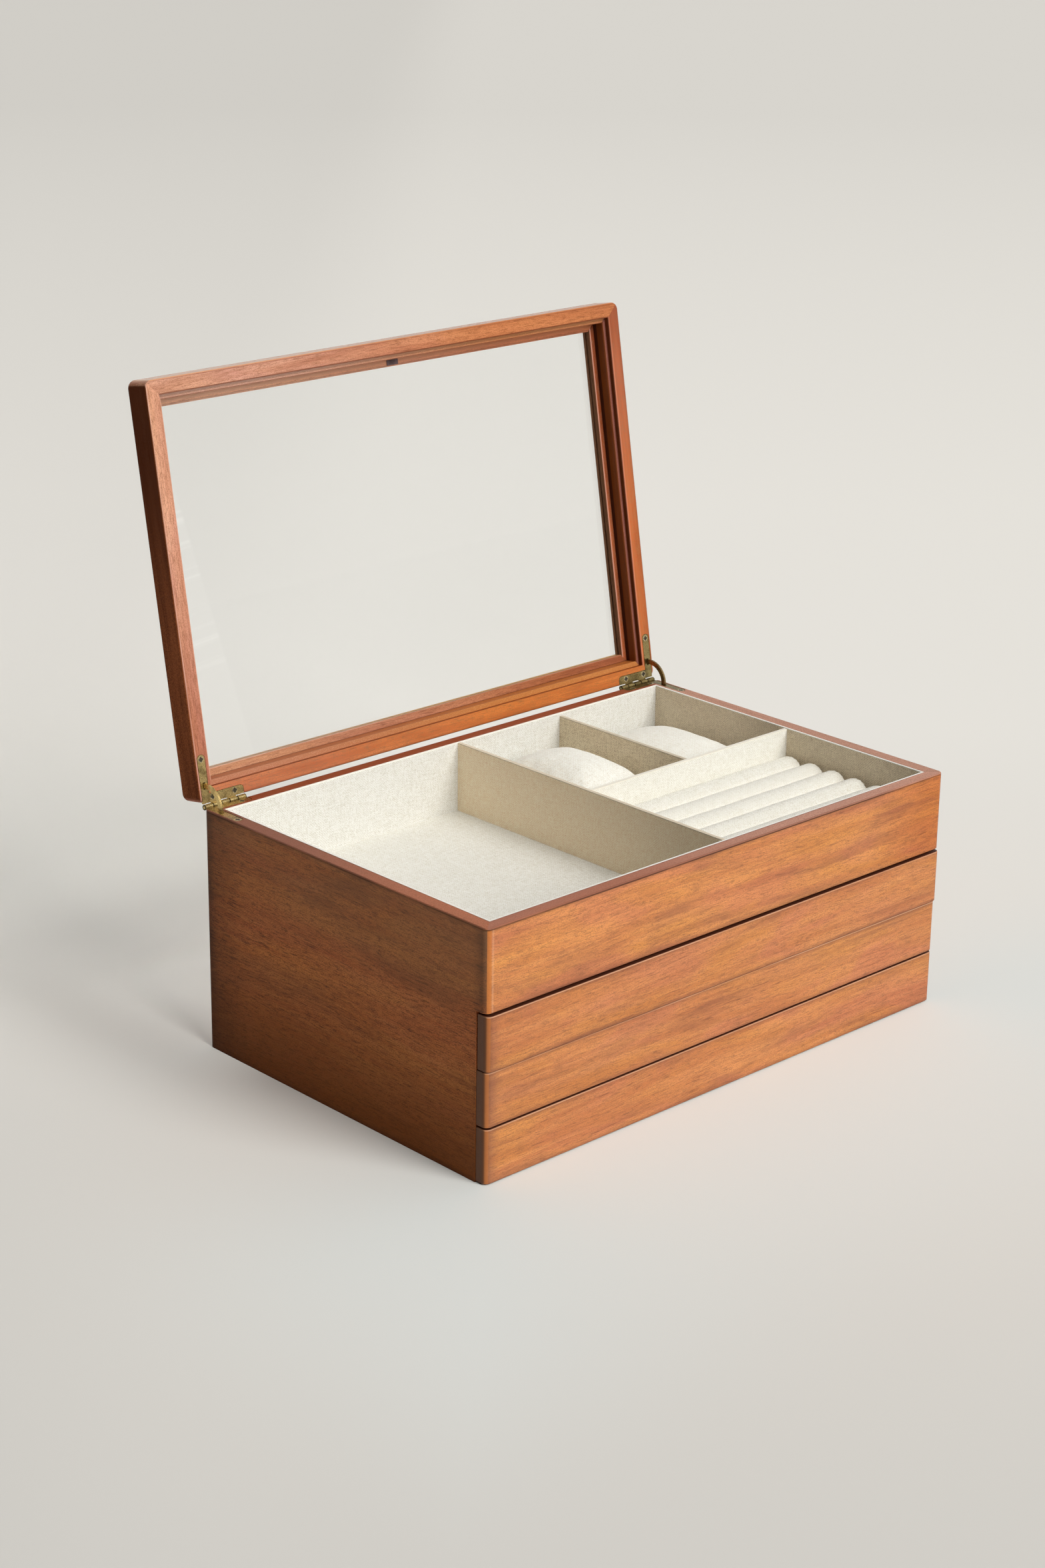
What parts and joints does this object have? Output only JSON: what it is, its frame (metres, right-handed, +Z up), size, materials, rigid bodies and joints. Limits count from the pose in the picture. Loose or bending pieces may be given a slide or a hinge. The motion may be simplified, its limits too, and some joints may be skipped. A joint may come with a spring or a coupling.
{
  "type": "ring box with drawers",
  "caption": "Wooden ring box with a hinged clear-glass lid over a linen-lined tray with dividers, cushions and ring rolls, and shallow drawers below.",
  "frame": {"origin": "centre of the case's footprint, on the underside of the base board", "axes": "+X to the right seen from the front, +Y to the back where the lid is hinged, +Z up"},
  "size_m": [0.3, 0.2454, 0.3156],
  "materials": {
    "case_wood": "satin brown lacquer over close-grained hardwood",
    "front_wood": "satin brown lacquer over close-grained hardwood",
    "lid_wood": "satin brown lacquer over close-grained hardwood",
    "panel_board": "toned plywood",
    "drawer_box_wood": "toned plywood, satin",
    "runner_wood": "bare hardwood",
    "linen_lining": "natural linen on card",
    "linen_cushion": "natural linen over a soft filling",
    "linen_rolls": "natural linen over foam rolls",
    "antique_brass": "aged brass, satin",
    "screw_brass": "plated, satin",
    "clear_glass": "clear float glass",
    "clip_steel": "darkened steel"
  },
  "bodies": {
    "case": {"side_panel_left": "case_wood", "side_panel_right": "case_wood", "back_panel": "case_wood", "front_top_rail": "case_wood", "base_board": "panel_board", "tray_board": "panel_board", "tray_lining_floor": "linen_lining", "tray_lining_left": "linen_lining", "tray_lining_right": "linen_lining", "tray_lining_front": "linen_lining", "tray_lining_back": "linen_lining", "tray_divider_long": "linen_lining", "tray_divider_cross": "linen_lining", "tray_divider_short": "linen_lining", "cushion_left": "linen_cushion", "cushion_right": "linen_cushion", "ring_pad_base": "linen_rolls", "ring_rolls": "linen_rolls", "drawer_runners_left": "runner_wood", "drawer_runners_right": "runner_wood", "hinge_left_case_leaf": "antique_brass", "hinge_right_case_leaf": "antique_brass", "hinge_left_pin": "antique_brass", "hinge_right_pin": "antique_brass", "case_hinge_screws": "screw_brass"},
    "lid": {"lid_rail_front": "lid_wood", "lid_rail_back": "lid_wood", "lid_stile_left": "lid_wood", "lid_stile_right": "lid_wood", "glazing_bead_front": "lid_wood", "glazing_bead_back": "lid_wood", "glazing_bead_left": "lid_wood", "glazing_bead_right": "lid_wood", "glass_pane": "clear_glass", "glass_clip": "clip_steel", "hinge_left_lid_leaf": "antique_brass", "hinge_right_lid_leaf": "antique_brass", "lid_hinge_screws": "screw_brass"},
    "quadrant_stays": {"stay_left": "antique_brass", "stay_right": "antique_brass"},
    "drawer_top": {"drawer_top_front": "front_wood", "drawer_top_side_left": "drawer_box_wood", "drawer_top_side_right": "drawer_box_wood", "drawer_top_back": "drawer_box_wood", "drawer_top_bottom": "drawer_box_wood", "drawer_top_lining": "linen_lining"},
    "drawer_middle": {"drawer_middle_front": "front_wood", "drawer_middle_side_left": "drawer_box_wood", "drawer_middle_side_right": "drawer_box_wood", "drawer_middle_back": "drawer_box_wood", "drawer_middle_bottom": "drawer_box_wood", "drawer_middle_lining": "linen_lining"},
    "drawer_bottom": {"drawer_bottom_front": "front_wood", "drawer_bottom_side_left": "drawer_box_wood", "drawer_bottom_side_right": "drawer_box_wood", "drawer_bottom_back": "drawer_box_wood", "drawer_bottom_bottom": "drawer_box_wood", "drawer_bottom_lining": "linen_lining"}
  },
  "joints": [
    {"name": "lid_hinge", "type": "hinge", "parent": "case", "child": "lid", "pos_m": [0, 0.0987, 0.12037], "axis": [1, 0, 0], "range_deg": [0, 99.95]},
    {"name": "stay_swing", "type": "hinge", "parent": "case", "child": "quadrant_stays", "pos_m": [0, 0.0987, 0.12037], "axis": [1, 0, 0], "range_deg": [0, 50]},
    {"name": "drawer_top_slide", "type": "slide", "parent": "case", "child": "drawer_top", "axis": [0, -1, 0], "range_m": [-0.0008, 0.13]},
    {"name": "drawer_middle_slide", "type": "slide", "parent": "case", "child": "drawer_middle", "axis": [0, -1, 0], "range_m": [0, 0.13]},
    {"name": "drawer_bottom_slide", "type": "slide", "parent": "case", "child": "drawer_bottom", "axis": [0, -1, 0], "range_m": [0, 0.13]}
  ],
  "couplings": [
    {"joint": "stay_swing", "follows": "lid_hinge", "ratio": 0.5}
  ]
}
